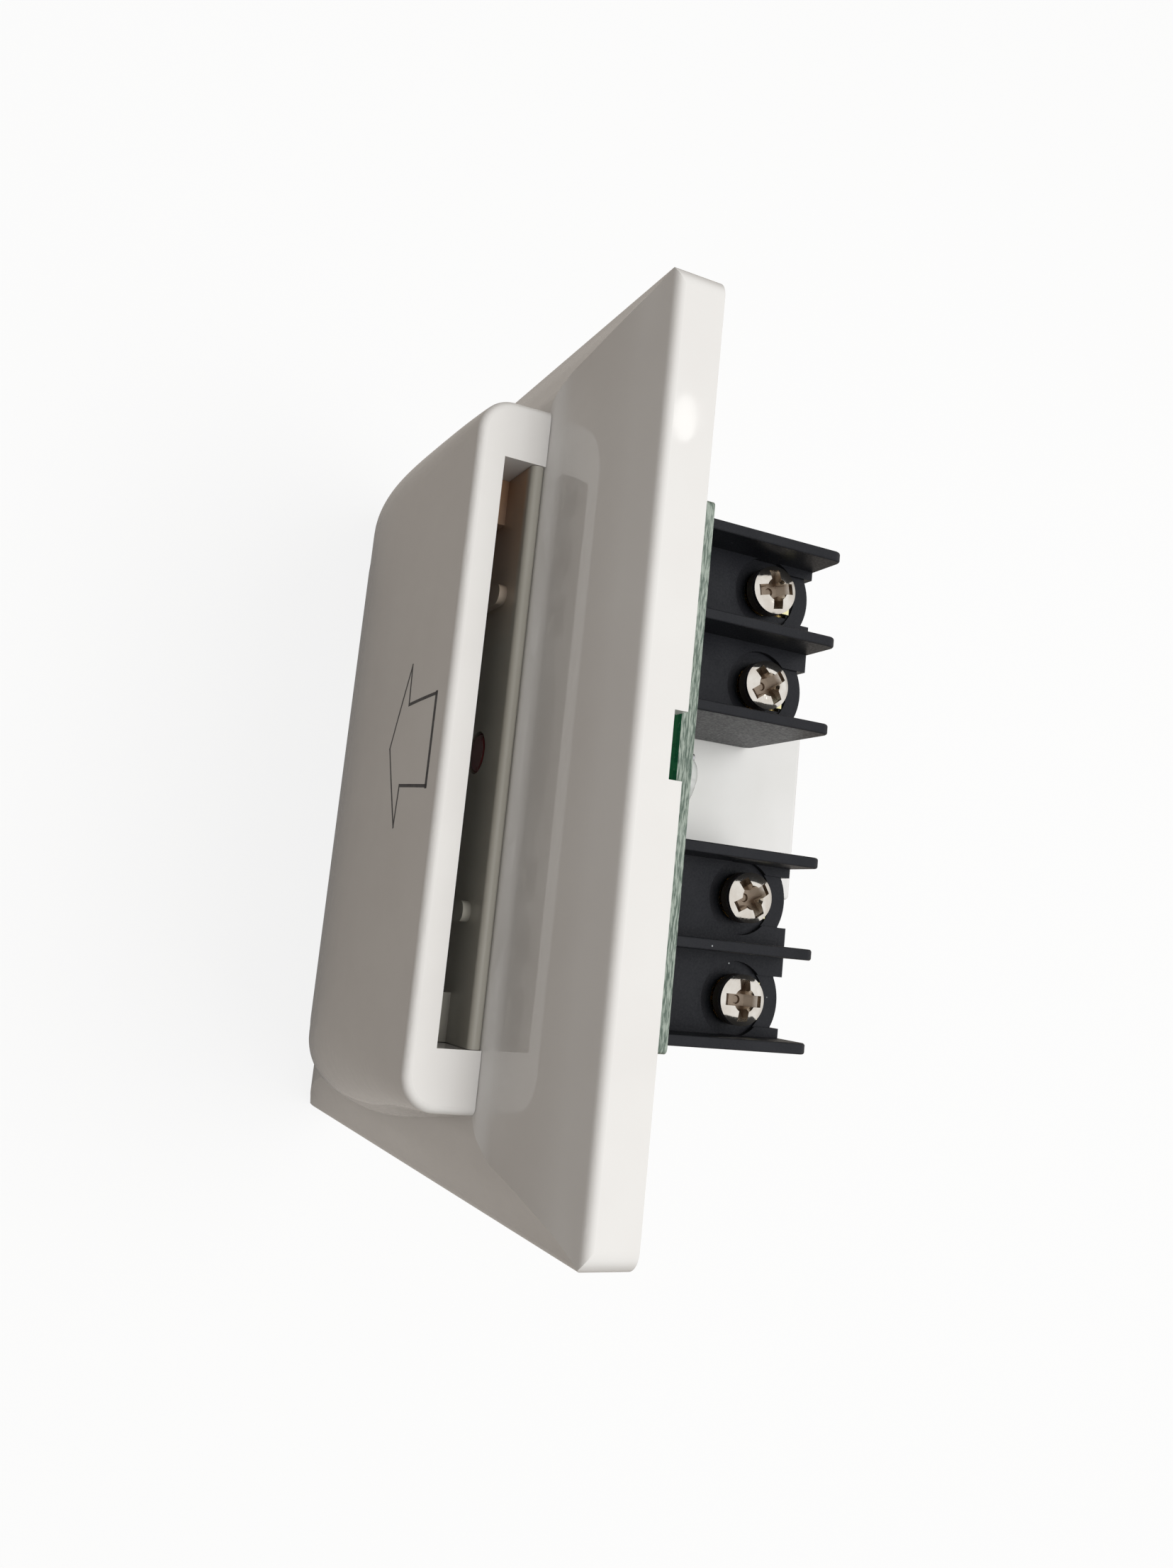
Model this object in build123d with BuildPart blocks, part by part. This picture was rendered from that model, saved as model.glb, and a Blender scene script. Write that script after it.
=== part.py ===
from build123d import *
import math
import os

os.makedirs("parts", exist_ok=True)

# The part stands as on a wall: X to the right, Z up, and the room on the -Y side.
# The wall is the plane Y = 0, and the origin is midway between the two wall box screws.
# All lengths are in millimetres.

# Faceplate
plate_side = 86.0
plate_edge = 4.8
plate_rise = 3.9
plate_corner = 2.0
plate_edge_round = 0.7
plate_wall = 1.8
skirt_wall = 2.0
notch_width = 6.0
notch_depth = 1.3

# How the face climbs from the edge to the flat, as shares of half the side and of the rise
top_inset_shares = (0.0, 0.086, 0.177, 0.305, 0.360, 0.393)
top_rise_shares = (0.0, 0.308, 0.538, 0.712, 0.840, 1.0)
side_inset_shares = (0.0, 0.054, 0.091, 0.156, 0.214)
side_rise_shares = (0.0, 0.308, 0.538, 0.840, 1.0)

# Card hood
hood_top_margin = 16.5
hood_foot_margin = 7.0
hood_side_margin = 5.3
hood_depth = 7.9
hood_root_depth = 5.4
hood_lip_round = 0.8
hood_lip_angles = (0.0, 30.0, 60.0, 90.0)
hood_wall = 1.6
hood_peg_radius = 1.0
hood_peg_length = 2.6

# The hood level by level from the lip down, as shares of its height, depth and half width
hood_level_shares = (0.0, 0.10, 0.23, 0.38, 0.54, 0.70, 0.85, 1.0)
hood_front_shares = (0.905, 0.975, 1.0, 0.962, 0.823, 0.544, 0.228, -0.076)
hood_foot_shares = (0.891, 0.936, 0.990, 1.041, 1.071, 1.083, 1.045, 0.980)
hood_brow_shares = (0.886, 0.892, 0.896, 0.904, 0.915, 0.920, 0.905, 0.840)
hood_round_shares = (0.093, 0.135, 0.180, 0.212, 0.212, 0.190, 0.160, 0.130)

# Card slot and the pocket behind it; the slot takes a 54 mm card
slot_end_wall = 5.7
slot_gap = 3.0
lip_wall = 2.4
pocket_wall = 1.3
pocket_depth_share = 0.736
pocket_toe_share = 0.3
pocket_lip_round_share = 0.45
pocket_rib_width = 2.0
pocket_rib_height = 0.8
pocket_rib_pitch = 30.8
pocket_rib_drop = 4.2
pocket_tab_width = 4.6
pocket_tab_height = 3.2
pocket_tab_drop = 6.0
stop_height = 2.0
window_radius = 2.1
window_drop = 6.5
back_window_margin = 4.8

# Mounting frame; the two fixing slots are 60 mm apart, midway across its side bars
frame_inset = 3.5
frame_thickness = 2.0
frame_corner = 4.0
frame_window_width = 41.0
frame_bar_height = 9.0
frame_rim_height = 1.4
frame_rim_wall = 1.6
fixing_slot_width = 4.2
fixing_slot_length = 6.2
leg_thickness = 1.2
leg_width = 6.0
leg_inset = 7.5
leg_pitch = 48.0
leg_clearance = 0.1
post_radius = 2.6
post_hole_radius = 0.9

# Circuit board
board_width = 53.0
board_height = 60.0
board_thickness = 1.6
board_top = 32.5
board_depth = 5.4
board_corner = 0.6
board_screw_radius = 1.1
board_screw_head_radius = 2.1
board_screw_head_height = 1.4
board_screw_round = 0.45
board_screw_length = 5.5
board_screw_slot = 0.7
board_screw_inset = 3.0
board_screw_margin = 3.2

# Terminal blocks
fin_pitch = 9.2
screw_pitch = 10.2
block_pitch = 32.2
fin_thickness = 1.1
fin_height = 15.3
fin_length = 17.5
fin_round = 1.0
fin_edge_round = 0.25
block_height = 10.3
block_length = 16.4
block_bottom = 14.7
shoulder_length = 0.8
barrel_radius = 5.5
wire_way_half = 2.6
wire_way_depth = 0.35
screw_reach = 11.5
well_radius = 3.8
well_depth = 0.6
contact_depth = 1.2
contact_width = 4.8
contact_thickness = 0.8
contact_reach = 14.6
contact_pin_width = 1.2
contact_pin_length = 1.0
contact_collar_radius = 2.3
contact_collar_height = 1.6
clamp_radius = 2.1
clamp_tongue_width = 3.7
clamp_tongue_length = 2.9
clamp_thickness = 0.8
clamp_gap = 0.6
clamp_clearance = 0.2
contact_shoulder = 1.0
screw_tip = 0.3
recess_wall = 0.9
recess_tip = 0.9
recess_eye_radius = 1.25
recess_eye_tip = 0.35
recess_eye_depth = 1.9
screw_radius = 1.5
screw_length = 7.0
screw_head_radius = 2.55
screw_head_height = 2.0
screw_rim_height = 1.5
screw_crown_shares = (0.78, 0.5)
recess_width = 1.15
recess_length = 4.1
recess_depth = 1.7
screw_turns = (12.0, 38.0, 33.0, 0.0)
running_fit = 0.05

# Relay
relay_width = 20.0
relay_height = 28.0
relay_length = 24.8
relay_top = 14.5
relay_wall = 1.0
relay_corner = 0.5
relay_base_thickness = 1.6
coil_drop = 17.0
coil_room = 11.8
coil_pin_inset = 1.8
coil_pin_drop = 2.7
bobbin_radius = 3.2
bobbin_flange = 0.9
bobbin_flange_radius = 7.0
winding_radius = 6.3
core_radius = 2.4
core_head_radius = 3.6
core_head_thickness = 1.0
yoke_thickness = 1.4
yoke_width = 10.0
pole_gap = 0.9
armature_thickness = 1.3
armature_tail = 1.8
blade_thickness = 0.3
blade_width = 5.0
contact_button_radius = 1.5
contact_button_height = 0.8
contact_gap = 1.0
post_width = 4.0
post_thickness = 0.8
post_fit = 0.2
pin_side = 0.9
pin_reach = 1.2
spring_thickness = 0.3
spring_width = 3.2
spring_gap = 0.1

# Small parts on the board
sensor_width = 7.0
sensor_height = 4.2
sensor_clearance = 0.6
eye_radius = 0.9
eye_pitch = 2.3
eye_rise = 0.3
eye_round = 0.15
lamp_radius = 1.5
lamp_length = 5.3
lamp_flange = 1.0
lamp_flange_rim = 0.4
lamp_dome_share = 0.95
lamp_level = 0.0
eye_length = 4.0
column_margin = 6.5
film_gap = 0.75
film_width = 6.0
film_depth = 9.5
film_round = 0.6
film_level = -20.0
can_radius = 4.0
can_length = 10.5
can_groove = 0.4
can_level = -9.0
chip_length = 9.6
chip_width = 6.4
chip_depth = 3.4
chip_notch_radius = 0.8
chip_level = -5.0
transistor_radius = 2.3
transistor_length = 4.6
transistor_level = 3.0
diode_radius = 1.35
diode_length = 5.0
diode_pitch = 4.4
diode_count = 4
diode_level = 0.0
resistor_radius = 1.2
resistor_length = 6.4
resistor_pitch = 4.2
resistor_count = 3
resistor_level = 8.5
fuse_radius = 2.6
fuse_length = 9.0
fuse_cap_length = 2.0
fuse_cap_rise = 0.15
fuse_level = -13.0
varistor_radius = 4.5
varistor_thickness = 3.2
varistor_round = 0.8
varistor_level = -19.0
solder_radius = 1.3
solder_height = 1.1
solder_taper = 25.0
dot_radius = 0.75
dot_pitch = 2.5
dot_inset = 1.3
dab_width = 4.8
dab_height = 2.4
dab_rise = 0.9
dab_offset = 0.8
overrun = 1.0

# Places that follow from the sizes
plate_half = plate_side / 2
plate_face = plate_edge + plate_rise
hood_half = plate_half - hood_side_margin
hood_top = plate_half - hood_top_margin
hood_height = plate_side - hood_top_margin - hood_foot_margin
hood_root = plate_face - hood_root_depth
slot_half = hood_half * hood_brow_shares[0] - slot_end_wall
pocket_depth = hood_height * pocket_depth_share
frame_side = plate_side - 2 * frame_inset
frame_window_height = frame_side - 2 * frame_bar_height
fixing_pitch = (frame_side + frame_window_width) / 2
pocket_front = plate_face + pocket_wall
slot_front = pocket_front + slot_gap
pocket_bottom = hood_top - pocket_depth
pocket_toe = pocket_front + pocket_toe_share * slot_gap
board_rear = board_depth + board_thickness
board_middle = board_top - board_height / 2
seat_level = block_bottom + block_height
screw_depth = board_rear + screw_reach
contact_top = seat_level - contact_depth
clamp_level = contact_top + clamp_gap
relay_middle = relay_top - relay_height / 2
relay_rear = board_rear + relay_length
coil_level = relay_top - coil_drop
coil_length = relay_length - coil_room
column_place = frame_window_width / 2 - column_margin
film_length = 2 * (column_place - varistor_radius - film_gap)

# Views that the outlines are drawn in: across the page, and out from the wall up the page
side_view = Plane(origin=(0, 0, 0), x_dir=(0, 0, 1), z_dir=(1, 0, 0))
top_view = Plane(origin=(0, 0, 0), x_dir=(1, 0, 0), z_dir=(0, 0, -1))


def depth_plane(depth):
    """The plane parallel to the wall at this distance behind it."""
    return Plane.XZ.offset(-depth)


def save(piece, name):
    """Names a finished piece and writes it."""
    piece.part.label = name
    export_step(piece.part, "parts/" + name + ".step")


def dish_outline(half, edge, inset_shares, rise_shares):
    """Section of the face: a short skirt, a rounded edge, a climbing curve and a flat."""
    climb = [
        (half * (1 - inset), edge + plate_rise * up)
        for inset, up in zip(inset_shares[1:], rise_shares[1:])
    ]
    slope = plate_rise * rise_shares[1] / (half * inset_shares[1])
    start = (half, edge - plate_edge_round)
    shoulder = (half - plate_edge_round, edge + plate_edge_round * slope)
    with BuildSketch() as outline:
        with BuildLine():
            Polyline((0, 0), (half, 0), start)
            bend = TangentArc(start, shoulder, tangent=(0, 1))
            curve = Spline(shoulder, *climb, tangents=(bend % 1, (-1, 0)))
            Line(curve @ 1, (0, edge + plate_rise))
            mirror(about=Plane.YZ)
        make_face()
    return outline.sketch


# Faceplate, moulded in one piece with four legs that grip the mounting frame
with BuildPart() as plate_outer:
    with BuildSketch(Plane.XZ):
        RectangleRounded(plate_side, plate_side, plate_corner)
    extrude(amount=plate_face)
    with BuildSketch(side_view):
        add(dish_outline(plate_half, plate_edge, top_inset_shares, top_rise_shares))
    extrude(amount=plate_side, both=True, mode=Mode.INTERSECT)
    with BuildSketch(top_view):
        add(dish_outline(plate_half, plate_edge, side_inset_shares, side_rise_shares))
    extrude(amount=plate_side, both=True, mode=Mode.INTERSECT)

core_half = plate_half - skirt_wall
core_edge = plate_edge - plate_wall

with BuildPart() as plate_core:
    with BuildSketch(Plane.XZ):
        RectangleRounded(2 * core_half, 2 * core_half, plate_corner / 2)
    extrude(amount=plate_face - plate_wall)
    with BuildSketch(side_view):
        add(dish_outline(core_half, core_edge, top_inset_shares, top_rise_shares))
    extrude(amount=plate_side, both=True, mode=Mode.INTERSECT)
    with BuildSketch(top_view):
        add(dish_outline(core_half, core_edge, side_inset_shares, side_rise_shares))
    extrude(amount=plate_side, both=True, mode=Mode.INTERSECT)

leg_place = plate_half - leg_inset

with BuildPart() as plate_legs:
    with BuildSketch(Plane.XZ.offset(leg_clearance)):
        with GridLocations(2 * leg_place, leg_pitch, 2, 2):
            Rectangle(leg_thickness, leg_width)
    extrude(amount=plate_face)
    add(plate_outer.part, mode=Mode.INTERSECT)

peg_place = slot_half + slot_end_wall / 2
peg_levels = [hood_top - hood_height * share for share in (hood_level_shares[2], hood_level_shares[5])]
window_level = hood_top - window_drop
back_window_width = 2 * (slot_half - back_window_margin)
back_window_top = window_level + sensor_height / 2 + sensor_clearance
back_window_bottom = pocket_bottom + back_window_margin

with BuildPart() as faceplate:
    add(plate_outer.part)
    add(plate_core.part, mode=Mode.SUBTRACT)
    add(plate_legs.part)
    with BuildSketch(Plane.XZ.offset(plate_face - plate_wall - overrun)):
        with Locations((0, (back_window_top + back_window_bottom) / 2)):
            Rectangle(back_window_width, back_window_top - back_window_bottom)
        for level in peg_levels:
            with Locations((-peg_place, level), (peg_place, level)):
                Circle(hood_peg_radius + running_fit)
    extrude(amount=plate_wall + 2 * overrun, mode=Mode.SUBTRACT)
    with BuildSketch(Plane.XZ.offset(-overrun)):
        with Locations((0, plate_half)):
            Rectangle(notch_width, 2 * (skirt_wall + overrun))
    extrude(amount=notch_depth + overrun, mode=Mode.SUBTRACT)
save(faceplate, "faceplate")


# Card hood, a separate moulding that swells out of the face and is pegged to it
def hood_outline(level, inset):
    """Section of the hood at one of its levels: straight foot, leaning sides, rounded front."""
    reach = plate_face + hood_depth * hood_front_shares[level] - inset
    foot = hood_half * hood_foot_shares[level] - inset
    corner = hood_half * hood_brow_shares[level] - inset
    with BuildSketch() as outline:
        with BuildLine():
            FilletPolyline(
                (-foot, -hood_root), (-corner, -reach), (corner, -reach), (foot, -hood_root),
                radius=hood_half * hood_round_shares[level] - inset,
            )
            Line((foot, -hood_root), (-foot, -hood_root))
        make_face()
    return outline.sketch


with BuildPart() as card_hood:
    for level, drop in enumerate(hood_level_shares):
        with BuildSketch(Plane.XY.offset(hood_top - hood_lip_round - (hood_height - hood_lip_round) * drop)):
            add(hood_outline(level, 0))
    loft()
    for angle in hood_lip_angles:
        rise = hood_lip_round * math.sin(math.radians(angle))
        inset = hood_lip_round * (1 - math.cos(math.radians(angle)))
        with BuildSketch(Plane.XY.offset(hood_top - hood_lip_round + rise)):
            add(hood_outline(0, inset))
    loft()
    with BuildSketch(Plane.XZ.offset(plate_face)):
        Rectangle(2 * plate_side, 2 * plate_side)
    extrude(amount=-plate_face, mode=Mode.SUBTRACT)
    pocket_roof = [
        (-(plate_face + hood_depth * front - hood_wall), hood_top - hood_height * level)
        for level, front in zip(hood_level_shares[1:6], hood_front_shares[1:6])
    ]
    with BuildSketch(Plane.YZ):
        with BuildLine():
            front_wall = Spline((-slot_front, hood_top - lip_wall), *pocket_roof)
            Polyline(
                front_wall @ 0, (-slot_front, hood_top + overrun), (-plate_face, hood_top + overrun),
                (-plate_face, pocket_bottom), (-pocket_toe, pocket_bottom), front_wall @ 1,
            )
        make_face()
    extrude(amount=slot_half, both=True, mode=Mode.SUBTRACT)
    with BuildSketch(Plane.XZ.offset(plate_face)):
        for level in peg_levels:
            with Locations((-peg_place, level), (peg_place, level)):
                Circle(hood_peg_radius)
    extrude(amount=-hood_peg_length)
save(card_hood, "card_hood")


# Card pocket, the tray that the card slides down, with guide ribs and a stop at its foot
tray_width = 2 * (slot_half - running_fit)
tab_place = tray_width / 2 - pocket_tab_width / 2
rib_top = hood_top - pocket_rib_drop

with BuildPart() as card_pocket:
    with BuildSketch(Plane.XZ.offset(plate_face)):
        with Locations((0, hood_top - pocket_depth / 2)):
            Rectangle(tray_width, pocket_depth - 2 * running_fit)
    extrude(amount=pocket_wall)
    lip = card_pocket.faces().sort_by(Axis.Z)[-1]
    fillet(lip.edges().filter_by(Axis.X), pocket_wall * pocket_lip_round_share)
    with BuildSketch(Plane.XZ.offset(pocket_front)):
        with Locations((-pocket_rib_pitch / 2, rib_top), (pocket_rib_pitch / 2, rib_top)):
            Rectangle(
                pocket_rib_width, rib_top - pocket_bottom - stop_height, align=(Align.CENTER, Align.MAX)
            )
            Circle(pocket_rib_width / 2)
        with Locations((-tab_place, hood_top - pocket_tab_drop), (tab_place, hood_top - pocket_tab_drop)):
            Rectangle(pocket_tab_width, pocket_tab_height, align=(Align.CENTER, Align.MAX))
    extrude(amount=pocket_rib_height)
    with BuildSketch(Plane.XZ.offset(pocket_front)):
        with Locations((0, pocket_bottom + running_fit)):
            Rectangle(tray_width, stop_height, align=(Align.CENTER, Align.MIN))
    extrude(amount=pocket_toe - pocket_front - running_fit)
    with BuildSketch(Plane.XZ.offset(plate_face)):
        with Locations((0, window_level)):
            Circle(window_radius)
    extrude(amount=pocket_wall, mode=Mode.SUBTRACT)
save(card_pocket, "card_pocket")

with BuildPart() as sensor_window:
    with BuildSketch(Plane.XZ.offset(plate_face)):
        with Locations((0, window_level)):
            Circle(window_radius - running_fit)
    extrude(amount=pocket_wall)
    fillet(sensor_window.faces().sort_by(Axis.Y)[0].edges(), pocket_wall * pocket_lip_round_share)
save(sensor_window, "sensor_window")


# Mounting frame, screwed to the wall box; it carries the circuit board on four posts
board_bottom = board_top - board_height
post_places = [
    (side * (board_width / 2 - board_screw_inset), level)
    for side in (-1, 1)
    for level in (board_bottom + board_screw_margin, block_bottom - board_screw_margin)
]

rim_width = frame_window_width + 2 * frame_rim_wall
rim_height = frame_window_height + 2 * frame_rim_wall

with BuildPart() as mounting_frame:
    with BuildSketch(Plane.XZ):
        RectangleRounded(frame_side, frame_side, frame_corner)
        RectangleRounded(frame_window_width, frame_window_height, frame_corner / 2, mode=Mode.SUBTRACT)
        with Locations((-fixing_pitch / 2, 0), (fixing_pitch / 2, 0)):
            SlotOverall(fixing_slot_length, fixing_slot_width, mode=Mode.SUBTRACT)
        with GridLocations(2 * leg_place, leg_pitch, 2, 2):
            Rectangle(leg_thickness + 2 * leg_clearance, leg_width + 2 * leg_clearance, mode=Mode.SUBTRACT)
    extrude(amount=frame_thickness)
    with BuildSketch(Plane.XZ.offset(frame_thickness)):
        RectangleRounded(rim_width, rim_height, frame_corner / 2)
        RectangleRounded(frame_window_width, frame_window_height, frame_corner / 2, mode=Mode.SUBTRACT)
    extrude(amount=frame_rim_height)
    with BuildSketch(Plane.XZ):
        with Locations(*post_places):
            Circle(post_radius)
    extrude(amount=-board_depth)
    with BuildSketch(depth_plane(board_depth)):
        with Locations(*post_places):
            Circle(board_screw_radius + running_fit)
    extrude(amount=board_screw_length - board_thickness, mode=Mode.SUBTRACT)
save(mounting_frame, "mounting_frame")


# Circuit board, with a square hole for each pin
way_places = [
    side * block_pitch / 2 + hand * screw_pitch / 2
    for side in (-1, 1)
    for hand in (-1, 1)
]
contact_level = contact_top - contact_thickness / 2
relay_bottom = relay_top - relay_height
coil_pin_place = relay_width / 2 - relay_wall - coil_pin_inset
coil_pin_level = relay_top - relay_wall - coil_pin_drop
yoke_top_level = coil_level + bobbin_flange_radius + yoke_thickness
yoke_middle = yoke_top_level - yoke_thickness / 2
fixed_contact_level = relay_bottom + relay_wall + contact_button_radius + pin_side
fixed_post_level = relay_bottom + relay_wall + post_thickness / 2 + post_fit
relay_pin_places = [
    (-coil_pin_place, coil_pin_level), (coil_pin_place, coil_pin_level),
    (0, yoke_middle), (0, fixed_post_level),
]
pin_places = [(place, contact_level) for place in way_places] + relay_pin_places

with BuildPart() as circuit_board:
    with BuildSketch(depth_plane(board_depth)):
        with Locations((0, board_middle)):
            RectangleRounded(board_width, board_height, board_corner)
        with Locations(*post_places):
            Circle(board_screw_radius + 2 * running_fit, mode=Mode.SUBTRACT)
        with Locations(*pin_places):
            Rectangle(pin_side + 2 * running_fit, pin_side + 2 * running_fit, mode=Mode.SUBTRACT)
    extrude(amount=-board_thickness)
save(circuit_board, "circuit_board")

with BuildPart() as board_screws:
    with BuildSketch(depth_plane(board_rear)):
        with Locations(*post_places):
            Circle(board_screw_radius)
    extrude(amount=board_screw_length)
    with BuildSketch(depth_plane(board_rear)):
        with Locations(*post_places):
            Circle(board_screw_head_radius)
    extrude(amount=-board_screw_head_height)
    fillet(board_screws.faces().group_by(Axis.Y)[-1].edges(), board_screw_round)
    with BuildSketch(depth_plane(board_rear + board_screw_head_height)):
        with Locations(*post_places):
            Rectangle(2 * board_screw_radius, board_screw_slot)
            Rectangle(board_screw_slot, 2 * board_screw_radius)
    extrude(amount=board_screw_head_height / 2, mode=Mode.SUBTRACT)
save(board_screws, "board_screws")


# Terminal blocks, two ways each between three tall fins
middle_shoulder = screw_pitch - 2 * wire_way_half
end_shoulder = fin_pitch - screw_pitch / 2 - wire_way_half
contact_bottom = contact_top - contact_thickness
pin_end = board_depth - pin_reach


def way_plane(place, level):
    """Level plane with its origin on the axis of a terminal screw."""
    return Plane(origin=(place, screw_depth, level), x_dir=(1, 0, 0), z_dir=(0, 0, 1))


def clamp_outline(margin):
    """Outline of a clamp plate: a disc under the screw's head, with a square tongue over the wire."""
    with BuildSketch() as outline:
        Circle(clamp_radius + margin)
        Rectangle(
            clamp_tongue_width + 2 * margin, clamp_tongue_length + margin, align=(Align.CENTER, Align.MIN)
        )
    return outline.sketch


with BuildPart() as fin:
    with BuildSketch(Plane.YZ.offset(-fin_thickness / 2)):
        with Locations((board_rear + fin_length / 2, block_bottom + fin_height / 2)):
            outline = Rectangle(fin_length, fin_height)
        fillet(outline.vertices().group_by(Axis.X)[-1], fin_round)
    extrude(amount=fin_thickness)
    fillet(fin.faces().filter_by(Axis.X).edges(), fin_edge_round)

for side, name in ((-1, "terminal_block_left"), (1, "terminal_block_right")):
    middle = side * block_pitch / 2
    ways = (middle - screw_pitch / 2, middle + screw_pitch / 2)
    ends = (middle - fin_pitch + end_shoulder / 2, middle + fin_pitch - end_shoulder / 2)
    with BuildPart() as terminal_block:
        with BuildSketch(Plane.XY.offset(block_bottom)):
            with Locations((middle, board_rear)):
                Rectangle(2 * fin_pitch, block_length, align=(Align.CENTER, Align.MIN))
                Rectangle(middle_shoulder, block_length + shoulder_length, align=(Align.CENTER, Align.MIN))
            with Locations((ways[0], screw_depth), (ways[1], screw_depth)):
                Circle(barrel_radius)
            with Locations((ends[0], board_rear), (ends[1], board_rear)):
                Rectangle(end_shoulder, block_length + shoulder_length, align=(Align.CENTER, Align.MIN))
            with Locations((middle, board_rear)):
                Rectangle(
                    2 * fin_pitch, 2 * block_length, align=(Align.CENTER, Align.MIN), mode=Mode.INTERSECT
                )
        extrude(amount=block_height)
        for way in ways:
            with BuildSketch(way_plane(way, seat_level)):
                Rectangle(2 * wire_way_half, block_length, align=(Align.CENTER, Align.MIN))
            extrude(amount=-wire_way_depth, mode=Mode.SUBTRACT)
            with BuildSketch(way_plane(way, seat_level)):
                Circle(well_radius)
            extrude(amount=-well_depth, mode=Mode.SUBTRACT)
            with BuildSketch(way_plane(way, seat_level)):
                add(clamp_outline(clamp_clearance))
            extrude(amount=-contact_depth, mode=Mode.SUBTRACT)
            with BuildSketch(Plane.XY.offset(contact_bottom - running_fit)):
                with Locations((way, board_rear)):
                    Rectangle(
                        contact_width + 2 * running_fit, contact_reach + running_fit,
                        align=(Align.CENTER, Align.MIN),
                    )
            extrude(amount=contact_thickness + 2 * running_fit, mode=Mode.SUBTRACT)
            with BuildSketch(way_plane(way, contact_bottom)):
                Circle(contact_collar_radius + running_fit)
            extrude(amount=-contact_collar_height - running_fit, mode=Mode.SUBTRACT)
            with BuildSketch(way_plane(way, contact_bottom)):
                Circle(screw_radius + 2 * running_fit)
            extrude(amount=-screw_length, mode=Mode.SUBTRACT)
        with Locations((middle - fin_pitch, 0, 0), (middle, 0, 0), (middle + fin_pitch, 0, 0)):
            add(fin.part)
    save(terminal_block, name)

with BuildPart() as terminal_contacts:
    for way in way_places:
        with BuildSketch(Plane.XY.offset(contact_bottom)):
            with Locations((way, board_rear + contact_reach)):
                Rectangle(contact_width, contact_reach - contact_shoulder, align=(Align.CENTER, Align.MAX))
            with Locations((way, pin_end)):
                Rectangle(pin_side, board_rear - pin_end + contact_shoulder, align=(Align.CENTER, Align.MIN))
        extrude(amount=contact_thickness)
        with BuildSketch(way_plane(way, contact_bottom)):
            Circle(contact_collar_radius)
        extrude(amount=-contact_collar_height)
        with BuildSketch(way_plane(way, contact_top)):
            Circle(screw_radius + running_fit)
        extrude(amount=-contact_thickness - contact_collar_height, mode=Mode.SUBTRACT)
save(terminal_contacts, "terminal_contacts")


# Terminal screws and the clamp plates that they carry up and down
head_level = clamp_level + clamp_thickness
crown_level = head_level + screw_head_height
crown_middle = (
    screw_head_radius * screw_crown_shares[0],
    screw_rim_height + (screw_head_height - screw_rim_height) * screw_crown_shares[1],
)

for number, (way, turn) in enumerate(zip(way_places, screw_turns), start=1):
    with BuildPart() as clamp_plate:
        with BuildSketch(way_plane(way, clamp_level)):
            add(clamp_outline(0))
            Circle(screw_radius + running_fit, mode=Mode.SUBTRACT)
        extrude(amount=clamp_thickness)
    save(clamp_plate, f"clamp_plate_{number}")

    with BuildPart() as terminal_screw:
        with BuildSketch(Plane(origin=(way, screw_depth, head_level), x_dir=(1, 0, 0), z_dir=(0, -1, 0))):
            with BuildLine():
                Polyline(
                    (0, screw_head_height), (0, -screw_length), (screw_radius - screw_tip, -screw_length),
                    (screw_radius, screw_tip - screw_length), (screw_radius, 0), (screw_head_radius, 0),
                    (screw_head_radius, screw_rim_height),
                )
                ThreePointArc((screw_head_radius, screw_rim_height), crown_middle, (0, screw_head_height))
            make_face()
        revolve(axis=Axis((way, screw_depth, 0), (0, 0, 1)))
        for angle in (turn, turn + 90):
            across = Vector(1, 0, 0).rotate(Axis.Z, angle)
            recess_view = Plane(
                origin=(way, screw_depth, crown_level), x_dir=across, z_dir=across.cross(Vector(0, 0, 1))
            )
            with BuildSketch(recess_view):
                with BuildLine():
                    Polyline(
                        (-recess_length / 2, overrun), (-recess_length / 2, -recess_wall),
                        (-recess_tip, -recess_depth), (recess_tip, -recess_depth),
                        (recess_length / 2, -recess_wall), (recess_length / 2, overrun),
                        close=True,
                    )
                make_face()
            extrude(amount=recess_width / 2, both=True, mode=Mode.SUBTRACT)
        with BuildSketch(Plane(origin=(way, screw_depth, crown_level), x_dir=(1, 0, 0), z_dir=(0, -1, 0))):
            with BuildLine():
                Polyline(
                    (0, overrun), (recess_eye_radius, overrun), (recess_eye_radius, 0),
                    (recess_eye_tip, -recess_eye_depth), (0, -recess_eye_depth),
                    close=True,
                )
            make_face()
        revolve(axis=Axis((way, screw_depth, 0), (0, 0, 1)), mode=Mode.SUBTRACT)
    save(terminal_screw, f"terminal_screw_{number}")


# Relay: sealed case, base, coil, iron circuit, armature and contacts
relay_inner_width = relay_width - 2 * relay_wall
relay_inner_height = relay_height - 2 * relay_wall
base_rear = board_rear + relay_base_thickness
bobbin_front = base_rear + yoke_thickness
bobbin_rear = bobbin_front + coil_length
pole_face = bobbin_rear + core_head_thickness
yoke_rear = pole_face + pole_gap
armature_front = yoke_rear + running_fit
armature_rear = armature_front + armature_thickness
moving_face = armature_rear - contact_button_height
fixed_face = moving_face - contact_gap

with BuildPart() as relay_case:
    with BuildSketch(depth_plane(board_rear)):
        with Locations((0, relay_middle)):
            Rectangle(relay_width, relay_height)
    extrude(amount=-relay_length)
    rear_edges = relay_case.faces().sort_by(Axis.Y)[-1].edges()
    fillet(rear_edges + relay_case.edges().filter_by(Axis.Y), relay_corner)
    with BuildSketch(depth_plane(board_rear)):
        with Locations((0, relay_middle)):
            Rectangle(relay_inner_width, relay_inner_height)
    extrude(amount=-(relay_length - relay_wall), mode=Mode.SUBTRACT)
save(relay_case, "relay_case")

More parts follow.
